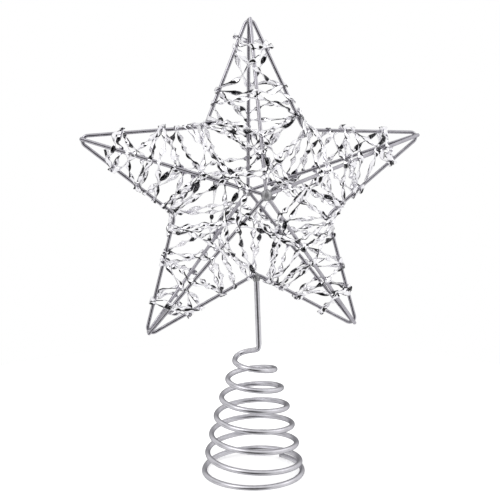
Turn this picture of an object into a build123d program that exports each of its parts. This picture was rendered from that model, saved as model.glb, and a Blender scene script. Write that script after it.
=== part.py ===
"""Christmas tree topper: a wire star with depth on a conical coil spring, wound with a foil strand.

The star stands in the XZ plane with its front towards -Y. The origin is the middle of the spring's
lowest turn, where the topper rests on a table or slips over the tip of a tree. Sizes are in millimetres.
"""

import os
from math import cos, dist, pi, radians, sin, tan

from build123d import *

os.makedirs("parts", exist_ok=True)

# Wires, drawn with a few flat sides inside their round section so that the facets stay few
WIRE_SIDES = 6
FRAME_WIRE = 1.8
SPRING_WIRE = 2.8
WELD_GAP = 0.15

# Star: where the straight sides of the bent outline would meet, from the star's middle
TIP_REACH = 94.2
WAIST_REACH = 42.1
STAR_DEPTH = 48.0
TIP_BEND = 2.7
WAIST_BEND = 6.0
RIB_OVERHANG = 1.5
RIB_SETBACK = 1.9

# The star is bent by hand, so its five arms differ a little
ARMS = ("top", "left", "lower_left", "lower_right", "right")
TIP_ANGLES = (92.5, 162.8, 231.6, 307.3, 379.0)
WAIST_ANGLES = (128.4, 194.2, 269.7, 341.9, 412.4)
TIP_REACH_SHARES = (0.965, 1.027, 1.003, 0.973, 1.021)
WAIST_REACH_SHARES = (1.026, 1.043, 1.005, 0.952, 0.971)
LOW_WAIST = ARMS.index("lower_left")

# Welds: lumps with bevelled ends
WELD_SIDES = 10
APEX_WELD = 5.2
APEX_WELD_LENGTH = 4.0
APEX_WELD_BEVEL = 1.2
TIP_WELD = 2.6
TIP_WELD_LENGTH = 3.0
TIP_WELD_BEVEL = 0.7
TIP_WELD_OFFSET = 1.0
STEM_WELD = 3.9
STEM_WELD_LENGTH = 5.6
STEM_WELD_BEVEL = 0.4

# Conical spring, from the flat turn that it stands on up to the bend under the stem
COIL_BASE_RADIUS = 26.4
COIL_TOP_RADIUS = 9.7
COIL_BELLY_SHARE = 0.47
COIL_PITCH = 10.0
COIL_TURNS = 6
COIL_GROWING_TURNS = 6.25
COIL_ALL_TURNS = 6.65
COIL_START_ANGLE = 169.0
SEAT_FLAT = 0.5

# Stem: a straight wire from the spring's top bend to the lowest waist of the star
FOOT_SHIFT = 3.2
FOOT_RISE = 5.5
FOOT_BEND = 3.0
FOOT_HEADING = 140.0
FOOT_SLOPE_SHARE = 0.22
STEM_HEIGHT = 40.6
STAR_SHIFT = 1.9

# Foil strand, wound in an inner and an outer layer
FOIL_SIDES = 3
FOIL_FOLDS = 3
FOIL = 1.13
FOIL_CLEARANCE = 0.25
FOIL_LAYER = 1.65

# Each loop crosses one side of the arm, the front rib, the other side and the back rib, at these shares
# of the way from the tip to the middle. The first loops climb to the tip and the others come back over them.
FOIL_LOOP_SHARES = {
    "top": (
        (0.84, 0.58, 0.62, 0.60),
        (0.68, 0.27, 0.27, 0.14),
        (0.29, 0.32, 0.72, 0.50),
        (0.60, 0.44, 0.78, 0.57),
    ),
    "left": (
        (0.78, 0.56, 0.84, 0.60),
        (0.64, 0.29, 0.42, 0.16),
        (0.36, 0.24, 0.62, 0.42),
        (0.70, 0.42, 0.78, 0.57),
    ),
    "lower_left": (
        (0.78, 0.57, 0.80, 0.60),
        (0.62, 0.34, 0.42, 0.20),
        (0.31, 0.22, 0.51, 0.38),
        (0.69, 0.50, 0.69, 0.57),
    ),
    "lower_right": (
        (0.83, 0.57, 0.78, 0.60),
        (0.57, 0.34, 0.61, 0.26),
        (0.36, 0.22, 0.37, 0.34),
        (0.64, 0.46, 0.70, 0.57),
    ),
    "right": (
        (0.82, 0.56, 0.78, 0.60),
        (0.65, 0.27, 0.35, 0.16),
        (0.37, 0.31, 0.64, 0.46),
        (0.70, 0.46, 0.73, 0.57),
    ),
}
FOIL_CLIMBING_LOOPS = 2
FOIL_FIRST_SIDE = {
    "top": "left",
    "left": "right",
    "lower_left": "right",
    "lower_right": "left",
    "right": "left",
}

# Across the middle each pass leaves one waist, crosses two ribs and goes round the third waist on
CENTER_WAIST_SHARES = (0.93, 0.84)
CENTER_RIB_SHARES = (0.66, 0.86)
CENTER_STEP_COUNT = 3

SAMPLE_STEP = 0.6


def star_point(angle, reach, depth=0.0):
    """A point by its angle and reach from the star's middle."""
    return Vector(STAR_SHIFT + reach * cos(radians(angle)), depth, star_height + reach * sin(radians(angle)))


def bend_apex(corner, before, after, radius):
    """The middle of the bend that rounds a corner of the outline."""
    inward = ((before - corner).normalized() + (after - corner).normalized()).normalized()
    half_sine = inward.cross((before - corner).normalized()).length
    return corner + inward * radius * (1 / half_sine - 1)


def least_gap(wire, thickness):
    """The least gap between two stretches of a strand, measured on points of its middle line."""
    count = int(wire.length / SAMPLE_STEP)
    points = [tuple(wire.position_at(index / count)) for index in range(count + 1)]
    skip = int(pi * thickness / SAMPLE_STEP) + 2
    gaps = []
    for index, point in enumerate(points):
        gaps += [dist(point, other) for other in points[index + skip:]]
    return min(gaps) - thickness


# Heights follow from the spring up
seat_height = SPRING_WIRE / 2 - SEAT_FLAT
coil_height = seat_height + COIL_PITCH * COIL_TURNS
foot = Vector(FOOT_SHIFT, 0, coil_height + FOOT_RISE)
waist_reaches = [WAIST_REACH * share for share in WAIST_REACH_SHARES]
tip_reaches = [TIP_REACH * share for share in TIP_REACH_SHARES]
star_height = foot.Z + STEM_HEIGHT - waist_reaches[LOW_WAIST] * sin(radians(WAIST_ANGLES[LOW_WAIST]))
star_middle = star_point(0, 0)
apexes = {
    "front": star_middle - Vector(0, STAR_DEPTH / 2, 0),
    "back": star_middle + Vector(0, STAR_DEPTH / 2, 0),
}

# The outline's ten corners, and where its wire lies at each bend
tips = [star_point(angle, reach) for angle, reach in zip(TIP_ANGLES, tip_reaches)]
waists = [star_point(angle, reach) for angle, reach in zip(WAIST_ANGLES, waist_reaches)]
tip_bends = [bend_apex(tips[k], waists[k - 1], waists[k], TIP_BEND) for k in range(len(ARMS))]
waist_bends = [bend_apex(waists[k], tips[k], tips[(k + 1) % len(ARMS)], WAIST_BEND) for k in range(len(ARMS))]

# Star outline: one wire bent to and fro and closed
corners = [corner for pair in zip(tips, waists) for corner in pair]
corner_bends = [TIP_BEND, WAIST_BEND] * len(ARMS)
with BuildPart() as star_outline:
    with BuildLine() as outline_path:
        FilletPolyline(corners, radius=corner_bends, close=True)
    with BuildSketch(Plane(origin=outline_path.line @ 0, z_dir=outline_path.line % 0)):
        RegularPolygon(FRAME_WIRE / 2, WIRE_SIDES)
    sweep(path=outline_path.wire())
star_outline.part.label = "star_outline"
export_step(star_outline.part, "parts/star_outline.step")

# Ribs: straight wires that lie over the outline's bend at the tip and meet at the front and the back apex
ribs = {}
rib_lines = {}
for face, side in (("front", -1), ("back", 1)):
    for arm, bend in zip(ARMS, tip_bends):
        crossing = bend + Vector(0, side * (FRAME_WIRE + WELD_GAP), 0)
        along = (apexes[face] - crossing).normalized()
        start = crossing - along * RIB_OVERHANG
        length = (apexes[face] - start).length - RIB_SETBACK
        with BuildPart() as rib:
            with BuildSketch(Plane(origin=start, z_dir=along)):
                RegularPolygon(FRAME_WIRE / 2, WIRE_SIDES)
            extrude(amount=length)
        name = f"{face}_rib_{arm}"
        rib.part.label = name
        export_step(rib.part, f"parts/{name}.step")
        ribs[face, arm] = rib.part
        rib_lines[face, arm] = (crossing, apexes[face])


def weld(name, place, axis, width, length, bevel, joined):
    """A lump of weld metal with bevelled ends, and room in it for the wires that it joins."""
    with BuildPart() as lump:
        with BuildSketch(Plane(origin=place, z_dir=axis)):
            RegularPolygon(width / 2, WELD_SIDES)
        extrude(amount=length / 2, both=True)
        chamfer(lump.edges().filter_by(Axis(place, axis), reverse=True), length=bevel)
        for wire in joined:
            add(wire, mode=Mode.SUBTRACT)
    lump.part.label = name
    export_step(lump.part, f"parts/{name}.step")


# Apex welds: lumps that the five rib ends run into
for face in ("front", "back"):
    rib_ends = [ribs[face, arm] for arm in ARMS]
    weld(
        f"{face}_apex_weld", apexes[face], Vector(0, 1, 0),
        APEX_WELD, APEX_WELD_LENGTH, APEX_WELD_BEVEL, rib_ends,
    )

# Tip welds: beads between the two rib ends, outside the outline's bend
for arm, bend in zip(ARMS, tip_bends):
    outward = (bend - star_middle).normalized()
    tip_wires = [star_outline.part, ribs["front", arm], ribs["back", arm]]
    weld(
        f"tip_weld_{arm}", bend + outward * TIP_WELD_OFFSET, Vector(0, 1, 0),
        TIP_WELD, TIP_WELD_LENGTH, TIP_WELD_BEVEL, tip_wires,
    )

# Stem: straight from the spring's top end to just under the lowest waist of the outline
stem_axis = (waist_bends[LOW_WAIST] - foot).normalized()
foot_heading = Vector(cos(radians(FOOT_HEADING)), sin(radians(FOOT_HEADING)), -FOOT_SLOPE_SHARE).normalized()
foot_turn = radians((stem_axis * -1).get_angle(foot_heading))
foot_setback = FOOT_BEND * tan(foot_turn / 2)
stem_start = foot + stem_axis * (foot_setback + SPRING_WIRE)
# The outline curves down on both sides of the stem, so the stem's end is set back to stay clear of it
inner_bend = WAIST_BEND - FRAME_WIRE / 2
stem_dip = inner_bend - (inner_bend**2 - (SPRING_WIRE / 2) ** 2) ** 0.5
stem_top = waist_bends[LOW_WAIST] - stem_axis * (FRAME_WIRE / 2 + stem_dip + WELD_GAP)
with BuildPart() as stem_wire:
    with BuildSketch(Plane(origin=stem_start, z_dir=stem_axis)):
        RegularPolygon(SPRING_WIRE / 2, WIRE_SIDES)
    extrude(amount=(stem_top - stem_start).length)
stem_wire.part.label = "stem_wire"
export_step(stem_wire.part, "parts/stem_wire.step")

# Stem weld: a lump that wraps the outline's bend and the stem's end
stem_wires = [star_outline.part, stem_wire.part]
weld("stem_weld", stem_top, stem_axis, STEM_WELD, STEM_WELD_LENGTH, STEM_WELD_BEVEL, stem_wires)


def coil_point(turn):
    """A point on the spring's middle line, by turns down from the first one."""
    angle = radians(COIL_START_ANGLE) + 2 * pi * turn
    grown = min(turn / COIL_GROWING_TURNS, 1)
    grown += COIL_BELLY_SHARE * grown * (1 - grown)
    radius = COIL_TOP_RADIUS + (COIL_BASE_RADIUS - COIL_TOP_RADIUS) * grown
    height = seat_height + COIL_PITCH * max(COIL_TURNS - turn, 0)
    return Vector(radius * cos(angle), radius * sin(angle), height)


def coil_heading(turn, step=0.001):
    """The spring's direction at a turn, level along the turn that it stands on."""
    heading = coil_point(turn + step) - coil_point(max(turn - step, 0))
    if turn >= COIL_TURNS:
        heading = Vector(heading.X, heading.Y, 0)
    return heading.normalized()


def biarc(start, start_heading, end, end_heading):
    """Two arcs that join two points and keep their headings."""
    chord = end - start
    bulge = 2 * (start_heading.dot(end_heading) - 1)
    lean = chord.dot(start_heading + end_heading)
    reach = (lean - (lean**2 - bulge * chord.length**2) ** 0.5) / bulge
    near = start + start_heading * reach
    far = end - end_heading * reach
    middle = (near + far) / 2
    TangentArc(start, middle, tangent=start_heading)
    TangentArc(middle, end, tangent=far - near)


# Spring: one wire, from the stem's end round the top bend and down to the flat turn
quarter = 0.25
coil_stops = [quarter * index for index in range(int(COIL_ALL_TURNS / quarter) + 1)]
coil_stops.append(COIL_ALL_TURNS)
with BuildPart() as coil_spring:
    with BuildLine() as coil_path:
        bend_start = foot + stem_axis * foot_setback
        bend_end = foot + foot_heading * foot_setback
        Line(stem_start, bend_start)
        TangentArc(bend_start, bend_end, tangent=stem_axis * -1)
        biarc(bend_end, foot_heading, coil_point(0), coil_heading(0))
        for upper, lower in zip(coil_stops, coil_stops[1:]):
            biarc(coil_point(upper), coil_heading(upper), coil_point(lower), coil_heading(lower))
    with BuildSketch(Plane(origin=stem_start, z_dir=stem_axis * -1)):
        RegularPolygon(SPRING_WIRE / 2, WIRE_SIDES)
    sweep(path=coil_path.wire())
    split(bisect_by=Plane.XY, keep=Keep.TOP)
coil_spring.part.label = "coil_spring"
export_step(coil_spring.part, "parts/coil_spring.step")
print(f"coil_spring gap to itself {least_gap(coil_path.wire(), SPRING_WIRE):.2f} mm")

# Wires that the foil goes round: each arm's two sides and two ribs, from the tip to the middle
wire_lines = {}
for index, arm in enumerate(ARMS):
    wire_lines["left", arm] = (tips[index], waists[index])
    wire_lines["right", arm] = (tips[index], waists[index - 1])
    wire_lines["front", arm] = rib_lines["front", arm]
    wire_lines["back", arm] = rib_lines["back", arm]

foil_wrap_radius = FRAME_WIRE / 2 + FOIL / 2 + FOIL_CLEARANCE


def foil_path_points(stations):
    """Corner points that carry the strand round each wire, from stations of wire, share and layer."""
    places = []
    for key, share, layer in stations:
        start, end = wire_lines[key]
        radius = foil_wrap_radius + layer * FOIL_LAYER
        places.append((start + (end - start) * share, (end - start).normalized(), radius))
    middle = sum((place for place, _, _ in places), Vector()) / len(places)
    points = []
    for index, (place, along, radius) in enumerate(places):
        neighbours = [places[near][0] - place for near in (index - 1, index + 1) if 0 <= near < len(places)]
        sides = [(side - along * side.dot(along)).normalized() for side in neighbours]
        if len(sides) == 1:
            beside = along.cross(sides[0])
            points.append(place + beside * (radius if beside.dot(place - middle) > 0 else -radius))
        else:
            outward = (sides[0] + sides[1]).normalized() * -1
            half_turn_cosine = outward.cross(sides[0]).length
            points.append(place + outward * (radius / half_turn_cosine))
    return points


def folded(points, radii):
    """Points of a strand that goes round each inner corner in straight folds, just outside its radius."""
    line = [points[0]]
    for before, corner, after, radius in zip(points, points[1:], points[2:], radii):
        ways = [(before - corner).normalized(), (after - corner).normalized()]
        inward = (ways[0] + ways[1]).normalized()
        centre = corner + inward * (radius / inward.cross(ways[0]).length)
        touch = corner + ways[0] * ways[0].dot(centre - corner) - centre
        axis = Axis((0, 0, 0), ways[1].cross(ways[0]))
        fold = (180 - ways[0].get_angle(ways[1])) / FOIL_FOLDS
        spread = 1 / cos(radians(fold / 2))
        line += [centre + touch.rotate(axis, fold * (index + 0.5)) * spread for index in range(FOIL_FOLDS)]
    return line + [points[-1]]


def foil_wrap(name, stations):
    """A foil strand through its stations, as one unbroken three-sided tube."""
    bends = [foil_wrap_radius + layer * FOIL_LAYER for _, _, layer in stations[1:-1]]
    points = folded(foil_path_points(stations), bends)
    with BuildPart() as wrap:
        with BuildLine() as strand:
            Polyline(points)
        with BuildSketch(Plane(origin=points[0], z_dir=points[1] - points[0])):
            RegularPolygon(FOIL / 2, FOIL_SIDES)
        sweep(path=strand.wire(), transition=Transition.RIGHT)
    wrap.part.label = name
    export_step(wrap.part, f"parts/{name}.step")
    gap = least_gap(strand.wire(), FOIL)
    print(f"{name} gap to itself {gap:.2f} mm, length {strand.wire().length:.0f} mm")


# Foil round the arms
for arm in ARMS:
    first = FOIL_FIRST_SIDE[arm]
    second = "right" if first == "left" else "left"
    stations = []
    for loop, shares in enumerate(FOIL_LOOP_SHARES[arm]):
        layer = 0 if loop < FOIL_CLIMBING_LOOPS else 1
        wires = (first, "front", second, "back")
        stations += [((wire, arm), share, layer) for wire, share in zip(wires, shares)]
    foil_wrap(f"foil_wrap_{arm}", stations)

# Foil across the middle, by turns over the front and the back
stations = []
waist = 0
for index in range(2 * len(ARMS)):
    face = "front" if index % 2 == 0 else "back"
    sides = (("left", ARMS[waist]), ("right", ARMS[(waist + 1) % len(ARMS)]))
    lap = index // len(ARMS)
    stations.append((sides[lap], CENTER_WAIST_SHARES[lap], 0))
    stations += [((face, ARMS[waist - step]), share, 0) for step, share in enumerate(CENTER_RIB_SHARES)]
    waist = (waist + CENTER_STEP_COUNT) % len(ARMS)
foil_wrap("foil_wrap_center", stations)
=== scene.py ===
"""Looks of the tree topper: satin wire, weld lumps, a conical spring and a wound strand of crinkled foil."""

from math import acos, cos, pi, radians, sin, sqrt, tan
from random import Random

import bpy
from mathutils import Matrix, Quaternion, Vector, noise


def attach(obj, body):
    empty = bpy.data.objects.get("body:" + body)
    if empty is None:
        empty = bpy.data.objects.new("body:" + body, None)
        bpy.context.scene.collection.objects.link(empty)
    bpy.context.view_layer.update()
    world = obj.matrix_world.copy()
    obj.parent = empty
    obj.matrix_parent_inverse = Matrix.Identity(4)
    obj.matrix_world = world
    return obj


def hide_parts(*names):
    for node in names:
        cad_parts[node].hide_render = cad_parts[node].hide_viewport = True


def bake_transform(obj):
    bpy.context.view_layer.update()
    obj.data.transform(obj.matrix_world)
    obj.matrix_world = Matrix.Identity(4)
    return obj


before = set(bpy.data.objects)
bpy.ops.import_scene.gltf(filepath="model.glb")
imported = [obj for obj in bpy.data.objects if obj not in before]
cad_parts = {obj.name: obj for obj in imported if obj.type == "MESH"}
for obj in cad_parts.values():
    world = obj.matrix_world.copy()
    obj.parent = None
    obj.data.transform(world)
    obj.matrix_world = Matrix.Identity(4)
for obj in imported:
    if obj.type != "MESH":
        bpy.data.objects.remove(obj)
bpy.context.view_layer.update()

MM = 0.001

# The star's own sizes, as the solids have them
FRAME_WIRE = 1.8 * MM
SPRING_WIRE = 2.8 * MM
WELD_GAP = 0.15 * MM
TIP_REACH = 94.2 * MM
WAIST_REACH = 42.1 * MM
STAR_DEPTH = 48.0 * MM
TIP_BEND = 2.7 * MM
WAIST_BEND = 6.0 * MM
RIB_OVERHANG = 1.5 * MM
RIB_SETBACK = 1.9 * MM
ARMS = ("top", "left", "lower_left", "lower_right", "right")
TIP_ANGLES = (92.5, 162.8, 231.6, 307.3, 379.0)
WAIST_ANGLES = (128.4, 194.2, 269.7, 341.9, 412.4)
TIP_REACH_SHARES = (0.965, 1.027, 1.003, 0.973, 1.021)
WAIST_REACH_SHARES = (1.026, 1.043, 1.005, 0.952, 0.971)
LOW_WAIST = ARMS.index("lower_left")

# The spring's sizes
COIL_BASE_RADIUS = 26.4 * MM
COIL_TOP_RADIUS = 9.7 * MM
COIL_BELLY_SHARE = 0.47
COIL_PITCH = 10.0 * MM
COIL_TURNS = 6
COIL_GROWING_TURNS = 6.25
COIL_ALL_TURNS = 6.65
COIL_START_ANGLE = 169.0
SEAT_FLAT = 0.5 * MM
FOOT_SHIFT = 3.2 * MM
FOOT_RISE = 5.5 * MM
FOOT_BEND = 3.0 * MM
FOOT_HEADING = 140.0
FOOT_SLOPE_SHARE = 0.22
STEM_HEIGHT = 40.6 * MM
STAR_SHIFT = 1.9 * MM

# The photograph's view
CAMERA_AZIMUTH = -11.0
CAMERA_ELEVATION = 6.75
CAMERA_DISTANCE = 450.0 * MM
CAMERA_TARGET = Vector((-1.67, 0.0, 119.57)) * MM
FRAME_PIXELS = 500
FOCAL_PIXELS = 862.86
SENSOR_WIDTH = 36.0

# Round skins of the frame's wires and the stem
WIRE_ROUND_SIDES = 20
BEND_STEPS = 18
END_BEVEL = 0.25 * MM
END_BEVEL_SHARE = 0.78
SHARP_ANGLE = 30.0

# Round skin of the spring. The first points of its line lie above the top bend, in wire thicknesses: the
# stem starts at 1, so the very first is inside the stem, and the wire is a little thinner there
SPRING_ROUND_SIDES = 18
SPRING_TOP_SHARES = (1.2, 1.0, 0.5)
SPRING_END_SHARE = 0.9
FOOT_STEPS = 12
LEAD_STEPS = 24
TURN_STEPS = 56
SMALL_TURN = 0.001

# Weld lumps: their half sizes, and the noise that makes their skin uneven
LUMP_RINGS = 22
LUMP_SIDES = 32
LUMP_RIPPLE_SHARE = 0.13
LUMP_RIPPLE_SCALE = 1.7
APEX_LUMP = Vector((2.9, 2.3, 2.9)) * MM
APEX_LUMP_SEED = 3.1
TIP_LUMP = Vector((1.5, 2.0, 1.5)) * MM
TIP_LUMP_OFFSET = -0.2 * MM
TIP_LUMP_SEED = 7.7
STEM_LUMP = Vector((2.0, 1.9, 2.7)) * MM
STEM_LUMP_SEED = 15.3

# Foil strip: its section, its twist between the wires, and its creases
FOIL_WIDTH = 2.8 * MM
FOIL_WIDTH_WAVE_SHARE = 0.30
FOIL_THICKNESS = 0.52 * MM
FOIL_THICKNESS_WAVE_SHARE = 0.6
FOIL_RING_SIDES = 10
FOIL_ROW = 0.6 * MM
FOIL_TWIST = 8.5 * MM
FOIL_TWIST_SPREAD = 0.8
FOIL_LAG_SHARE = 0.1
FOIL_PINCH_SHARE = 0.52
FOIL_CRINKLE = 0.20 * MM
FOIL_CREASE = 4.5 * MM
FOIL_WAVES = 3
FOIL_WAVE_SPACING = 3.3
FOIL_NOISE_REACH = 100
FOIL_ARM_SEED = 11
FOIL_CENTER_SEED = 29

# Foil's way round the wires: its seat on them, the layers over each other, and some loops that stand off
FOIL_SEAT = 0.25 * MM
FOIL_LAYER = 0.40 * MM
FOIL_LEAVE = 2.0 * MM
FOIL_WANDER = 3.0 * MM
LOOSE_SHARE = 0.12
LOOSE_LEAST = 0.6 * MM
LOOSE_MOST = 1.5 * MM

# Painted dark reflections on the foil's lenses: how dark the front and the back can be, how often, and how
# far along a half turn. Then the painted dark edge reflections, which come and go along the strip
PAINTED_REFLECTION_HALVES = ((0.0, 0.0), (1.0, 0.0), (0.0, 1.0))
PAINTED_REFLECTION_SHARES = (0.72, 0.14, 0.14)
PAINTED_REFLECTION_REACH_SHARE = 0.28
PAINTED_EDGE_REFLECTION = 6.0 * MM
PAINTED_EDGE_REFLECTION_PLACE = 40.0
PAINTED_EDGE_REFLECTION_LEVEL = 0.12

# Each arm's loops cross one side, the front rib, the other side and the back rib, at these shares of each
# wire's way from the tip
FOIL_FIRST_SIDE = {
    "top": "left", "left": "right", "lower_left": "right", "lower_right": "left", "right": "left",
}
FOIL_LOOP_SHARES = {
    "top": (
        (0.97, 0.65, 0.87, 0.75), (0.80, 0.45, 0.90, 0.57), (0.69, 0.42, 0.62, 0.36),
        (0.30, 0.29, 0.76, 0.52), (0.68, 0.24, 0.26, 0.11), (0.22, 0.16, 0.30, 0.40),
    ),
    "left": (
        (0.95, 0.65, 0.88, 0.72), (0.78, 0.50, 0.70, 0.58), (0.68, 0.42, 0.80, 0.55),
        (0.66, 0.37, 0.65, 0.40), (0.66, 0.28, 0.40, 0.22), (0.37, 0.25, 0.63, 0.35),
        (0.36, 0.17, 0.38, 0.14),
    ),
    "lower_left": (
        (0.90, 0.62, 0.80, 0.70), (0.70, 0.55, 0.68, 0.55), (0.60, 0.38, 0.70, 0.42),
        (0.65, 0.32, 0.40, 0.25), (0.31, 0.21, 0.50, 0.30), (0.29, 0.19, 0.38, 0.14),
    ),
    "lower_right": (
        (0.90, 0.62, 0.88, 0.72), (0.82, 0.50, 0.80, 0.60), (0.60, 0.50, 0.75, 0.45),
        (0.55, 0.35, 0.62, 0.33), (0.36, 0.25, 0.60, 0.28), (0.34, 0.23, 0.36, 0.16),
    ),
    "right": (
        (0.92, 0.62, 0.90, 0.72), (0.80, 0.50, 0.85, 0.60), (0.68, 0.45, 0.72, 0.52),
        (0.60, 0.40, 0.75, 0.40), (0.65, 0.27, 0.36, 0.20), (0.36, 0.30, 0.68, 0.38),
        (0.34, 0.22, 0.33, 0.14),
    ),
}

# Laps across the middle: share along a side, near the waist, then along the first and the second rib that
# each pass crosses. Each pass ends this many waists further round
CENTER_LAP_SHARES = ((0.93, 0.66, 0.86), (0.84, 0.66, 0.86), (0.98, 0.76, 0.90), (0.88, 0.60, 0.80))
CENTER_STEP = 3

# Finish of the wires: noise scales are in bumps per metre
FRAME_WIRE_COLOURS = ((0.395, 0.385, 0.42), (0.515, 0.50, 0.545))
FRAME_WIRE_ROUGHNESS = (0.24, 0.33)
SPRING_WIRE_COLOURS = ((0.565, 0.558, 0.59), (0.665, 0.655, 0.695))
SPRING_WIRE_ROUGHNESS = (0.29, 0.37)
WIRE_EDGE_TINT = (0.45, 0.45, 0.46, 1.0)
WIRE_CLOUD_SCALE = 260.0
WIRE_CLOUD_DETAIL = 5.0
WIRE_SCUFF_SCALE = 700.0
WIRE_PIT_SCALE = 2600.0
WIRE_PIT_DEPTH = 0.03 * MM
WIRE_PIT_STRENGTH = 0.10

# Finish of the weld metal
WELD_COLOURS = ((0.20, 0.20, 0.21), (0.52, 0.52, 0.53))
WELD_ROUGHNESS = (0.32, 0.6)
WELD_CLOUD_SCALE = 900.0
WELD_CLOUD_DETAIL = 4.0
WELD_SCUFF_SCALE = 1500.0
WELD_RIPPLE_SCALE = 1800.0
WELD_RIPPLE_DEPTH = 0.12 * MM
WELD_RIPPLE_STRENGTH = 0.5

# Finish of the foil: its bright silver, and its painted dark reflections with light specks
FOIL_BRIGHT_COLOURS = ((0.85, 0.84, 0.88), (0.98, 0.975, 0.995))
FOIL_BRIGHT_SCALE = 520.0
FOIL_BRIGHT_DETAIL = 4.0
FOIL_PAINTED_REFLECTION_COLOURS = ((0.014, 0.014, 0.017), (0.28, 0.28, 0.29))
FOIL_PAINTED_REFLECTION_SCALE = 1500.0
FOIL_PAINTED_REFLECTION_SPAN = (0.50, 0.72)
FOIL_PAINTED_REFLECTION_LIMITS = (0.50, 0.65)
FOIL_ROUGHNESS = (0.03, 0.12)
FOIL_ROUGH_SCALE = 1300.0
FOIL_BUMP_SCALE = 1900.0
FOIL_BUMP_DEPTH = 0.05 * MM
FOIL_BUMP_STRENGTH = 0.07

# Studio: white all round, with darker flags that show in the metal. A flag has the azimuth and the elevation
# of its middle, its half width where it is full and where it ends, and its level
STUDIO_WHITE = 1.0
WHITE = (1.0, 1.0, 1.0, 1.0)
FLAGS = (
    (-11.0, -8.0, 28.0, 46.0, 0.02),
    (172.0, 4.0, 24.0, 44.0, 0.45),
    (84.0, 24.0, 10.0, 24.0, 0.50),
    (-100.0, 10.0, 10.0, 24.0, 0.50),
)
FLOOR_RADIUS = 300.0 * MM
FLOOR_SIDES = 64
FLOOR_COLOUR = (0.8, 0.8, 0.8, 1.0)
FLOOR_ROUGHNESS = 0.9
FLOOR_LIFT = 0.45

# Softboxes: place and size in metres, and power in watts
SOFTBOXES = {
    "key_softbox": (Vector((-0.75, -0.45, 0.85)), 0.7, 3.0),
    "fill_softbox": (Vector((0.85, -0.15, 0.6)), 0.7, 1.5),
}


def star_point(angle, reach):
    """A point by its angle and reach from the star's middle."""
    across = reach * cos(radians(angle))
    up = reach * sin(radians(angle))
    return Vector((STAR_SHIFT + across, 0.0, star_height + up))


def bend_apex(corner, before, after, radius):
    """The middle of the bend that rounds a corner of the outline."""
    inward = ((before - corner).normalized() + (after - corner).normalized()).normalized()
    half_sine = inward.cross((before - corner).normalized()).length
    return corner + inward * radius * (1 / half_sine - 1)


seat_height = SPRING_WIRE / 2 - SEAT_FLAT
foot = Vector((FOOT_SHIFT, 0.0, seat_height + COIL_PITCH * COIL_TURNS + FOOT_RISE))
waist_reaches = [WAIST_REACH * share for share in WAIST_REACH_SHARES]
tip_reaches = [TIP_REACH * share for share in TIP_REACH_SHARES]
star_height = foot.z + STEM_HEIGHT - waist_reaches[LOW_WAIST] * sin(radians(WAIST_ANGLES[LOW_WAIST]))
star_middle = star_point(0, 0)
half_depth = Vector((0, STAR_DEPTH / 2, 0))
apexes = {"front": star_middle - half_depth, "back": star_middle + half_depth}
tips = [star_point(angle, reach) for angle, reach in zip(TIP_ANGLES, tip_reaches)]
waists = [star_point(angle, reach) for angle, reach in zip(WAIST_ANGLES, waist_reaches)]
tip_bends = [bend_apex(tips[k], waists[k - 1], waists[k], TIP_BEND) for k in range(len(ARMS))]
waist_bends = [
    bend_apex(waists[k], tips[k], tips[(k + 1) % len(ARMS)], WAIST_BEND) for k in range(len(ARMS))
]

# Wires that the foil goes round: each arm's two sides and two ribs, from the tip inwards
wire_lines = {}
for index, arm in enumerate(ARMS):
    wire_lines["left", arm] = (tips[index], waists[index])
    wire_lines["right", arm] = (tips[index], waists[index - 1])
    for face, side in (("front", -1), ("back", 1)):
        crossing = tip_bends[index] + Vector((0, side * (FRAME_WIRE + WELD_GAP), 0))
        wire_lines[face, arm] = (crossing, apexes[face])


def new_metal(name):
    """A plain metal material, with the place in metres in the object's own frame for its noise."""
    material = bpy.data.materials.new(name)
    material.use_nodes = True
    tree = material.node_tree
    shader = tree.nodes["Principled BSDF"]
    shader.inputs["Metallic"].default_value = 1.0
    place = tree.nodes.new("ShaderNodeTexCoord")
    return material, tree, shader, place.outputs["Object"]


def noise_ramp(tree, place, scale, low, high, detail=3.0, span=(0.3, 0.7)):
    """A noise of so many bumps per metre, spread between two colours or two levels of grey."""
    texture = tree.nodes.new("ShaderNodeTexNoise")
    texture.inputs["Scale"].default_value = scale
    texture.inputs["Detail"].default_value = detail
    tree.links.new(place, texture.inputs["Vector"])
    ramp = tree.nodes.new("ShaderNodeValToRGB")
    for element, position, colour in zip(ramp.color_ramp.elements, span, (low, high)):
        element.position = position
        element.color = (*colour, 1.0) if isinstance(colour, tuple) else (colour, colour, colour, 1.0)
    tree.links.new(texture.outputs["Fac"], ramp.inputs["Fac"])
    return ramp.outputs["Color"]


def add_bump(tree, shader, heights, distance, strength):
    """Bump from a height, in metres."""
    bump = tree.nodes.new("ShaderNodeBump")
    bump.inputs["Strength"].default_value = strength
    bump.inputs["Distance"].default_value = distance
    tree.links.new(heights, bump.inputs["Height"])
    tree.links.new(bump.outputs["Normal"], shader.inputs["Normal"])


def wire_material(name, colours, roughness):
    """Drawn wire with a thin satin coat: faint cloudy grey, fine pits and scuffs."""
    material, tree, shader, place = new_metal(name)
    shader.inputs["Specular Tint"].default_value = WIRE_EDGE_TINT
    clouds = noise_ramp(tree, place, WIRE_CLOUD_SCALE, *colours, detail=WIRE_CLOUD_DETAIL)
    tree.links.new(clouds, shader.inputs["Base Color"])
    scuffs = noise_ramp(tree, place, WIRE_SCUFF_SCALE, *roughness)
    tree.links.new(scuffs, shader.inputs["Roughness"])
    pits = noise_ramp(tree, place, WIRE_PIT_SCALE, 0.0, 1.0)
    add_bump(tree, shader, pits, WIRE_PIT_DEPTH, WIRE_PIT_STRENGTH)
    return material


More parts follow.
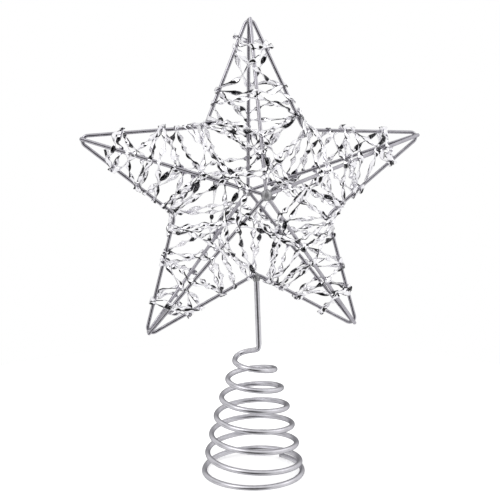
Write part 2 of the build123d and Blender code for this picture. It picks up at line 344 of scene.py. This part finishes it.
def weld_material(name):
    """Weld metal: darker, with ripples and burnt specks."""
    material, tree, shader, place = new_metal(name)
    clouds = noise_ramp(tree, place, WELD_CLOUD_SCALE, *WELD_COLOURS, detail=WELD_CLOUD_DETAIL)
    tree.links.new(clouds, shader.inputs["Base Color"])
    scuffs = noise_ramp(tree, place, WELD_SCUFF_SCALE, *WELD_ROUGHNESS)
    tree.links.new(scuffs, shader.inputs["Roughness"])
    ripples = noise_ramp(tree, place, WELD_RIPPLE_SCALE, 0.0, 1.0)
    add_bump(tree, shader, ripples, WELD_RIPPLE_DEPTH, WELD_RIPPLE_STRENGTH)
    return material


def foil_material(name):
    """Silvered film: mirror bright, clouded where it is creased, and painted dark reflections with bright
    specks on some lenses
    """
    material, tree, shader, place = new_metal(name)
    bright = noise_ramp(tree, place, FOIL_BRIGHT_SCALE, *FOIL_BRIGHT_COLOURS, detail=FOIL_BRIGHT_DETAIL)
    # Painted dark reflections with light specks, laid over the silver where the strip's mesh marks them
    dark = noise_ramp(tree, place, FOIL_PAINTED_REFLECTION_SCALE, *FOIL_PAINTED_REFLECTION_COLOURS, span=FOIL_PAINTED_REFLECTION_SPAN)
    lens = tree.nodes.new("ShaderNodeAttribute")
    lens.attribute_name = "painted_dark_reflection"
    colour = tree.nodes.new("ShaderNodeMix")
    colour.data_type = "RGBA"
    limit = tree.nodes.new("ShaderNodeMapRange")
    limit.inputs["From Min"].default_value, limit.inputs["From Max"].default_value = FOIL_PAINTED_REFLECTION_LIMITS
    tree.links.new(lens.outputs["Fac"], limit.inputs["Value"])
    tree.links.new(limit.outputs["Result"], colour.inputs["Factor"])
    tree.links.new(bright, colour.inputs["A"])
    tree.links.new(dark, colour.inputs["B"])
    tree.links.new(colour.outputs["Result"], shader.inputs["Base Color"])
    clouds = noise_ramp(tree, place, FOIL_ROUGH_SCALE, *FOIL_ROUGHNESS)
    tree.links.new(clouds, shader.inputs["Roughness"])
    crinkles = noise_ramp(tree, place, FOIL_BUMP_SCALE, 0.0, 1.0)
    add_bump(tree, shader, crinkles, FOIL_BUMP_DEPTH, FOIL_BUMP_STRENGTH)
    return material


materials = {
    "frame_wire": wire_material("satin_frame_wire", FRAME_WIRE_COLOURS, FRAME_WIRE_ROUGHNESS),
    "spring_wire": wire_material("pale_spring_wire", SPRING_WIRE_COLOURS, SPRING_WIRE_ROUGHNESS),
    "weld_metal": weld_material("weld_metal"),
    "foil": foil_material("silver_foil"),
}


def add_piece(name, points, faces, slot):
    """A smooth mesh piece in the shared frame with the finish of a material slot."""
    mesh = bpy.data.meshes.new(name)
    mesh.from_pydata([tuple(point) for point in points], [], faces)
    mesh.polygons.foreach_set("use_smooth", [True] * len(mesh.polygons))
    mesh.materials.append(materials[slot])
    mesh.update()
    piece = bpy.data.objects.new(name, mesh)
    bpy.context.scene.collection.objects.link(piece)
    return piece


def tube_faces(ring_count, sides, closed=False):
    """Faces of a tube through rings of points, either a closed loop or capped at both ends."""
    faces = []
    for ring in range(ring_count if closed else ring_count - 1):
        near = ring * sides
        far = (ring + 1) % ring_count * sides
        for side in range(sides):
            ahead = (side + 1) % sides
            faces.append((near + side, near + ahead, far + ahead, far + side))
    if not closed:
        last = (ring_count - 1) * sides
        faces.append(tuple(reversed(range(sides))))
        faces.append(tuple(last + side for side in range(sides)))
    return faces


def carried_frames(points, closed=False):
    """Tangent and side at each point, the side carried along without twist."""
    frames = []
    side = None
    for index in range(len(points)):
        ahead = points[(index + 1) % len(points) if closed else min(index + 1, len(points) - 1)]
        behind = points[index - 1 if closed else max(index - 1, 0)]
        tangent = (ahead - behind).normalized()
        if side is None:
            side = tangent.orthogonal()
        side = (side - tangent * side.dot(tangent)).normalized()
        frames.append((tangent, side))
    return frames


def round_rings(points, radii, sides, closed=False):
    """Rings of points round a line, one ring for each of its points."""
    rings = []
    turns = [2 * pi * step / sides for step in range(sides)]
    for centre, radius, (tangent, side) in zip(points, radii, carried_frames(points, closed)):
        up = tangent.cross(side)
        rings += [centre + (side * cos(turn) + up * sin(turn)) * radius for turn in turns]
    return rings


def straight_wire(name, node, start, end, thickness, slot):
    """A cut length of round wire with its end edges broken, in place of a faceted one."""
    along = (end - start).normalized()
    line = [start, start + along * END_BEVEL, end - along * END_BEVEL, end]
    radii = [thickness / 2 * share for share in (END_BEVEL_SHARE, 1, 1, END_BEVEL_SHARE)]
    rings = round_rings(line, radii, WIRE_ROUND_SIDES)
    piece = add_piece(name, rings, tube_faces(len(line), WIRE_ROUND_SIDES), slot)
    piece.data.set_sharp_from_angle(angle=radians(SHARP_ANGLE))
    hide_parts(node)
    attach(piece, "star")


def bent_corner(corner, before, after, radius, steps):
    """Points round the bend at a corner."""
    ways = [(before - corner).normalized(), (after - corner).normalized()]
    inward = (ways[0] + ways[1]).normalized()
    half_sine = inward.cross(ways[0]).length
    centre = corner + inward * radius / half_sine
    ends = [corner + way * way.dot(centre - corner) - centre for way in ways]
    return [centre + ends[0].slerp(ends[1], step / steps) * radius for step in range(steps + 1)]


# Star outline: one round wire bent to and fro
corners = [corner for pair in zip(tips, waists) for corner in pair]
outline = []
for index, corner in enumerate(corners):
    bend = TIP_BEND if index % 2 == 0 else WAIST_BEND
    outline += bent_corner(corner, corners[index - 1], corners[(index + 1) % len(corners)], bend, BEND_STEPS)
outline_rings = round_rings(outline, [FRAME_WIRE / 2] * len(outline), WIRE_ROUND_SIDES, True)
outline_faces = tube_faces(len(outline), WIRE_ROUND_SIDES, closed=True)
outline_wire = add_piece("bent_outline_wire", outline_rings, outline_faces, "frame_wire")
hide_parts("star_outline")
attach(outline_wire, "star")

# Ribs, from just past each tip to the front and the back apex
for face in apexes:
    for arm in ARMS:
        crossing, apex = wire_lines[face, arm]
        along = (apex - crossing).normalized()
        rib_ends = (crossing - along * RIB_OVERHANG, apex - along * RIB_SETBACK)
        straight_wire(f"{face}_wire_{arm}", f"{face}_rib_{arm}", *rib_ends, FRAME_WIRE, "frame_wire")

# Stem, from the spring's end up to the lowest waist
stem_axis = (waist_bends[LOW_WAIST] - foot).normalized()
foot_angle = radians(FOOT_HEADING)
foot_heading = Vector((cos(foot_angle), sin(foot_angle), -FOOT_SLOPE_SHARE)).normalized()
foot_setback = FOOT_BEND * tan((stem_axis * -1).angle(foot_heading) / 2)
stem_start = foot + stem_axis * (foot_setback + SPRING_WIRE)
inner_bend = WAIST_BEND - FRAME_WIRE / 2
stem_dip = inner_bend - sqrt(inner_bend**2 - (SPRING_WIRE / 2) ** 2)
stem_top = waist_bends[LOW_WAIST] - stem_axis * (FRAME_WIRE / 2 + stem_dip + WELD_GAP)
straight_wire("straight_stem", "stem_wire", stem_start, stem_top, SPRING_WIRE, "spring_wire")


def weld_lump(name, node, centre, radii, seed):
    """A lump of weld metal with an uneven skin, in place of a plain one."""
    points = []
    for ring in range(LUMP_RINGS):
        polar = pi * (ring + 0.5) / LUMP_RINGS
        for side in range(LUMP_SIDES):
            turn = 2 * pi * side / LUMP_SIDES
            ray = Vector((sin(polar) * cos(turn), sin(polar) * sin(turn), cos(polar)))
            swell = 1 + LUMP_RIPPLE_SHARE * noise.noise(ray * LUMP_RIPPLE_SCALE + Vector((seed, 0, 0)))
            points.append(centre + Vector([ray[k] * radii[k] * swell for k in range(3)]))
    piece = add_piece(name, points, tube_faces(LUMP_RINGS, LUMP_SIDES), "weld_metal")
    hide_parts(node)
    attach(piece, "star")


# Weld lumps
for index, face in enumerate(("front", "back")):
    weld_lump(f"{face}_apex_lump", f"{face}_apex_weld", apexes[face], APEX_LUMP, APEX_LUMP_SEED + index)
for index, arm in enumerate(ARMS):
    outward = (tip_bends[index] - star_middle).normalized()
    lump_place = tip_bends[index] + outward * TIP_LUMP_OFFSET
    weld_lump(f"tip_lump_{arm}", f"tip_weld_{arm}", lump_place, TIP_LUMP, TIP_LUMP_SEED + index)
weld_lump("stem_lump", "stem_weld", stem_top, STEM_LUMP, STEM_LUMP_SEED)


def coil_point(turn):
    """A point on the spring's middle line, by turns down from the first one."""
    angle = radians(COIL_START_ANGLE) + 2 * pi * turn
    grown = min(turn / COIL_GROWING_TURNS, 1)
    grown += COIL_BELLY_SHARE * grown * (1 - grown)
    radius = COIL_TOP_RADIUS + (COIL_BASE_RADIUS - COIL_TOP_RADIUS) * grown
    height = seat_height + COIL_PITCH * max(COIL_TURNS - turn, 0)
    return Vector((radius * cos(angle), radius * sin(angle), height))


def spring_middle_line():
    """The spring's middle line, from the stem's end round the top bend and down the coil."""
    bend_start = foot + stem_axis * foot_setback
    bend_end = foot + foot_heading * foot_setback
    points = [bend_start + stem_axis * SPRING_WIRE * share for share in SPRING_TOP_SHARES]
    for step in range(FOOT_STEPS + 1):
        share = step / FOOT_STEPS
        points.append(bend_start.lerp(foot, share).lerp(foot.lerp(bend_end, share), share))
    coil_start = coil_point(0)
    coil_heading = (coil_point(SMALL_TURN) - coil_start).normalized()
    reach = (coil_start - bend_end).length
    for step in range(1, LEAD_STEPS):
        share = step / LEAD_STEPS
        near = bend_end + foot_heading * reach * share
        far = coil_start - coil_heading * reach * (1 - share)
        ease = share * share * (3 - 2 * share)
        points.append(near.lerp(far, ease))
    count = int(COIL_ALL_TURNS * TURN_STEPS)
    points += [coil_point(COIL_ALL_TURNS * step / count) for step in range(count + 1)]
    return points


def build_spring():
    """The spring's wire, which runs from the star's stem round the top bend and down the coil to the seat.
    """
    sides = SPRING_ROUND_SIDES
    middle = spring_middle_line()
    radii = [SPRING_WIRE / 2] * len(middle)
    radii[0] *= SPRING_END_SHARE
    points = round_rings(middle, radii, sides)
    # The last turn stands on the ground, where the wire is flat
    for point in points:
        point.z = max(point.z, 0.0)
    piece = add_piece("spring_wire_coil", points, tube_faces(len(middle), sides), "spring_wire")
    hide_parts("coil_spring")
    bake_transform(piece)


build_spring()


def strand_controls(stations, random):
    """Control points of a strand that goes round its stations, some with the way that it faces there."""
    places = []
    for key, share, layer in stations:
        start, end = wire_lines[key]
        radius = FRAME_WIRE / 2 + FOIL_SEAT + layer * FOIL_LAYER
        if key[0] in ("left", "right") and random.random() < LOOSE_SHARE:
            radius += random.uniform(LOOSE_LEAST, LOOSE_MOST)
        places.append((start.lerp(end, share), (end - start).normalized(), radius))
    middle = sum((place for place, _, _ in places), Vector()) / len(places)
    controls = []
    for index, (place, along, radius) in enumerate(places):
        ways = [places[near][0] - place for near in (index - 1, index + 1) if 0 <= near < len(places)]
        sides = [(way - along * way.dot(along)).normalized() for way in ways]
        if len(sides) == 1:
            beside = along.cross(sides[0])
            beside = beside if beside.dot(place - middle) > 0 else -beside
            controls.append((place + beside * radius, beside))
            continue
        outward = -(sides[0] + sides[1]).normalized()
        across = (sides[1] - sides[0]).normalized()
        half = pi / 2 - acos(max(-1.0, min(1.0, sides[0].dot(sides[1])))) / 2
        corner = across * tan(half / 2)
        touch_in = place + (outward * cos(half) - across * sin(half)) * radius
        touch_out = place + (outward * cos(half) + across * sin(half)) * radius
        wander = Vector([random.uniform(-1, 1) for _ in range(3)]) * FOIL_WANDER
        enter = touch_in + ways[0].normalized() * FOIL_LEAVE
        if controls:
            controls.append(((controls[-1][0] + enter) / 2 + wander, None))
        controls.append((enter, None))
        controls.append((place + (outward - corner) * radius, None))
        controls.append((place + (outward + corner) * radius, outward))
        controls.append((touch_out + ways[1].normalized() * FOIL_LEAVE, None))
    return controls


def strand_line(controls):
    """Points on the smooth curve that the control points pull, and the way it faces at some of them."""
    points = [controls[0][0]]
    flats = {0: controls[0][1]}
    for before, here, after in zip(controls, controls[1:], controls[2:]):
        start = (before[0] + here[0]) / 2
        end = (here[0] + after[0]) / 2
        if here[1] is not None:
            flats[len(points) - 1] = here[1]
        steps = max(2, round(((here[0] - start).length + (end - here[0]).length) / FOIL_ROW))
        for step in range(1, steps + 1):
            share = step / steps
            points.append(start.lerp(here[0], share).lerp(here[0].lerp(end, share), share))
    points.append(controls[-1][0])
    flats[len(points) - 1] = controls[-1][1]
    return points, flats


def ribbon_turns(points, flats, random):
    """How the strip faces at each point, flat on the wires and twisted in between, with the painted dark
    reflections on its lenses, the shares of its width and the frames of its line."""
    normals, painted_reflections, swells = [], [], []
    marks = sorted(flats)
    frames = carried_frames(points)
    for first, last in zip(marks, marks[1:]):
        length = sum((points[k + 1] - points[k]).length for k in range(first, last))
        turns = round(length / FOIL_TWIST + random.uniform(-FOIL_TWIST_SPREAD, FOIL_TWIST_SPREAD))
        half_turns = max(1, turns) * random.choice((-1, 1))
        lag = random.uniform(-FOIL_LAG_SHARE, FOIL_LAG_SHARE)
        # Which lenses get a painted dark reflection: on the front, on the back or on neither
        dark = [random.choices(PAINTED_REFLECTION_HALVES, PAINTED_REFLECTION_SHARES)[0] for _ in range(abs(half_turns) + 1)]
        for index in range(first, last):
            share = (index - first) / (last - first)
            tangent = frames[index][0]
            flat = flats[first].lerp(flats[last], share)
            flat = (flat - tangent * flat.dot(tangent)).normalized()
            twist = pi * half_turns * (share + lag * sin(2 * pi * share))
            normals.append(Quaternion(tangent, twist) @ flat)
            turned = abs(twist) / pi
            swells.append(FOIL_PINCH_SHARE + (1 - FOIL_PINCH_SHARE) * abs(cos(twist)))
            lens = min(round(turned), abs(half_turns))
            painted_reflections.append(dark[lens] if abs(turned - lens) < PAINTED_REFLECTION_REACH_SHARE else PAINTED_REFLECTION_HALVES[0])
    tangent = frames[-1][0]
    flat = flats[marks[-1]]
    normals.append((flat - tangent * flat.dot(tangent)).normalized())
    painted_reflections.append(PAINTED_REFLECTION_HALVES[0])
    swells.append(1.0)
    return normals, painted_reflections, swells, frames


def strand_mesh(stations, random):
    """Points, faces and painted dark reflections of a strand of film, folded into a flat strip with soft
    edges.
    """
    points, flats = strand_line(strand_controls(stations, random))
    normals, painted_reflections, swells, frames = ribbon_turns(points, flats, random)
    skin_points, skin_shades = [], []
    seed = random.uniform(0, FOIL_NOISE_REACH)
    wave_places = [FOIL_WAVE_SPACING * row for row in range(FOIL_WAVES)]
    passed = 0.0
    for index, (point, normal, (tangent, _)) in enumerate(zip(points, normals, frames)):
        passed += (point - points[max(index - 1, 0)]).length
        waves = [noise.noise(Vector((passed / FOIL_CREASE, seed, place))) for place in wave_places]
        across = tangent.cross(normal)
        half = FOIL_WIDTH / 2 * swells[index] * (1 + FOIL_WIDTH_WAVE_SHARE * waves[0])
        thick = FOIL_THICKNESS / 2 * (1 + FOIL_THICKNESS_WAVE_SHARE * waves[1])
        centre = point + normal * FOIL_CRINKLE * waves[2]
        # Painted dark reflections: on the face of a dark lens, and as thin dark lines that come and go along
        # the edges
        front, back = painted_reflections[index]
        edge = noise.noise(Vector((passed / PAINTED_EDGE_REFLECTION, seed, PAINTED_EDGE_REFLECTION_PLACE)))
        for side in range(FOIL_RING_SIDES):
            turn = 2 * pi * side / FOIL_RING_SIDES
            skin_points.append(centre + across * half * cos(turn) + normal * thick * sin(turn))
            shade = front * max(sin(turn), 0) + back * max(-sin(turn), 0)
            if edge * cos(turn) > PAINTED_EDGE_REFLECTION_LEVEL:
                shade = 1.0
            skin_shades.append(shade)
    return skin_points, tube_faces(len(points), FOIL_RING_SIDES), skin_shades


def arm_stations(arm):
    """Stations of the strand round an arm, each loop half a layer over the one before."""
    first = FOIL_FIRST_SIDE[arm]
    second = "right" if first == "left" else "left"
    wires = (first, "front", second, "back")
    stations = []
    for loop, shares in enumerate(FOIL_LOOP_SHARES[arm]):
        stations += [((wire, arm), share, loop / 2) for wire, share in zip(wires, shares)]
    return stations


def center_stations():
    """Stations of the strand across the middle, by turns over the front and the back."""
    stations = []
    waist = 0
    for index in range(len(CENTER_LAP_SHARES) * len(ARMS)):
        lap = index // len(ARMS)
        waist_share, *rib_shares = CENTER_LAP_SHARES[lap]
        face = "front" if index % 2 == 0 else "back"
        sides = (("left", ARMS[waist]), ("right", ARMS[(waist + 1) % len(ARMS)]))
        stations.append((sides[lap % 2], waist_share, lap / 2))
        stations += [((face, ARMS[waist - step]), share, lap / 2) for step, share in enumerate(rib_shares)]
        waist = (waist + CENTER_STEP) % len(ARMS)
    return stations


def build_foil(name, node, stations, seed):
    """A wound foil strand in place of its plain one."""
    points, faces, shades = strand_mesh(stations, Random(seed))
    piece = add_piece(name, points, faces, "foil")
    # The strip's points carry where its dark reflections are painted
    piece.data.attributes.new("painted_dark_reflection", "FLOAT", "POINT").data.foreach_set("value", shades)
    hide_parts(node)
    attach(piece, "star")


for index, arm in enumerate(ARMS):
    build_foil(f"foil_strand_{arm}", f"foil_wrap_{arm}", arm_stations(arm), FOIL_ARM_SEED + index)
build_foil("foil_strand_center", "foil_wrap_center", center_stations(), FOIL_CENTER_SEED)


def view_direction(azimuth, elevation):
    """The unit direction of an azimuth and an elevation, in the way the views are named."""
    az, el = radians(azimuth), radians(elevation)
    return Vector((sin(az) * cos(el), -cos(az) * cos(el), sin(el)))


def build_world():
    """White for the camera, and a white studio with darker flags for everything else."""
    world = bpy.data.worlds.new("studio")
    bpy.context.scene.world = world
    world.use_nodes = True
    tree = world.node_tree
    background = tree.nodes["Background"]
    background.inputs["Color"].default_value = WHITE
    coordinates = tree.nodes.new("ShaderNodeTexCoord")
    level = None
    for azimuth, elevation, inner, outer, dark in FLAGS:
        facing = tree.nodes.new("ShaderNodeVectorMath")
        facing.operation = "DOT_PRODUCT"
        facing.inputs[1].default_value = view_direction(azimuth, elevation)
        tree.links.new(coordinates.outputs["Generated"], facing.inputs[0])
        fade = tree.nodes.new("ShaderNodeMapRange")
        fade.interpolation_type = "SMOOTHSTEP"
        fade.inputs["From Min"].default_value = cos(radians(outer))
        fade.inputs["From Max"].default_value = cos(radians(inner))
        fade.inputs["To Min"].default_value = STUDIO_WHITE
        fade.inputs["To Max"].default_value = dark
        tree.links.new(facing.outputs["Value"], fade.inputs["Value"])
        if level is None:
            level = fade.outputs["Result"]
            continue
        product = tree.nodes.new("ShaderNodeMath")
        product.operation = "MULTIPLY"
        tree.links.new(level, product.inputs[0])
        tree.links.new(fade.outputs["Result"], product.inputs[1])
        level = product.outputs["Value"]
    rays = tree.nodes.new("ShaderNodeLightPath")
    seen = tree.nodes.new("ShaderNodeMix")
    seen.inputs["B"].default_value = STUDIO_WHITE
    tree.links.new(rays.outputs["Is Camera Ray"], seen.inputs["Factor"])
    tree.links.new(level, seen.inputs["A"])
    tree.links.new(seen.outputs["Result"], background.inputs["Strength"])


build_world()


def build_floor():
    """A pale round floor that reads as white to the camera and stays out of the metal's reflections."""
    turns = [2 * pi * side / FLOOR_SIDES for side in range(FLOOR_SIDES)]
    rim = [(FLOOR_RADIUS * cos(turn), FLOOR_RADIUS * sin(turn), 0) for turn in turns]
    mesh = bpy.data.meshes.new("floor")
    mesh.from_pydata(rim, [], [tuple(range(FLOOR_SIDES))])
    material = bpy.data.materials.new("pale_floor")
    material.use_nodes = True
    tree = material.node_tree
    shader = tree.nodes["Principled BSDF"]
    shader.inputs["Base Color"].default_value = FLOOR_COLOUR
    shader.inputs["Roughness"].default_value = FLOOR_ROUGHNESS
    shader.inputs["Specular IOR Level"].default_value = 0.0
    shader.inputs["Emission Color"].default_value = WHITE
    rays = tree.nodes.new("ShaderNodeLightPath")
    lift = tree.nodes.new("ShaderNodeMath")
    lift.operation = "MULTIPLY"
    lift.inputs[1].default_value = FLOOR_LIFT
    tree.links.new(rays.outputs["Is Camera Ray"], lift.inputs[0])
    tree.links.new(lift.outputs["Value"], shader.inputs["Emission Strength"])
    mesh.materials.append(material)
    floor = bpy.data.objects.new("floor", mesh)
    floor.visible_glossy = False
    bpy.context.scene.collection.objects.link(floor)


build_floor()


def add_softbox(name, place, size, power):
    """A square soft light that faces the object."""
    light = bpy.data.lights.new(name, "AREA")
    light.energy = power
    light.size = size
    lamp = bpy.data.objects.new(name, light)
    lamp.location = place
    lamp.rotation_euler = (star_middle - lamp.location).to_track_quat("-Z", "Y").to_euler()
    bpy.context.scene.collection.objects.link(lamp)


for name, (place, size, power) in SOFTBOXES.items():
    add_softbox(name, place, size, power)

# Camera at the photograph's place
camera_data = bpy.data.cameras.new("camera")
camera_data.sensor_width = SENSOR_WIDTH
camera_data.lens = FOCAL_PIXELS / FRAME_PIXELS * SENSOR_WIDTH
camera = bpy.data.objects.new("camera", camera_data)
camera.location = CAMERA_TARGET + view_direction(CAMERA_AZIMUTH, CAMERA_ELEVATION) * CAMERA_DISTANCE
camera.rotation_euler = (CAMERA_TARGET - camera.location).to_track_quat("-Z", "Y").to_euler()
bpy.context.scene.collection.objects.link(camera)
bpy.context.scene.camera = camera
bpy.context.scene.view_settings.view_transform = "Standard"
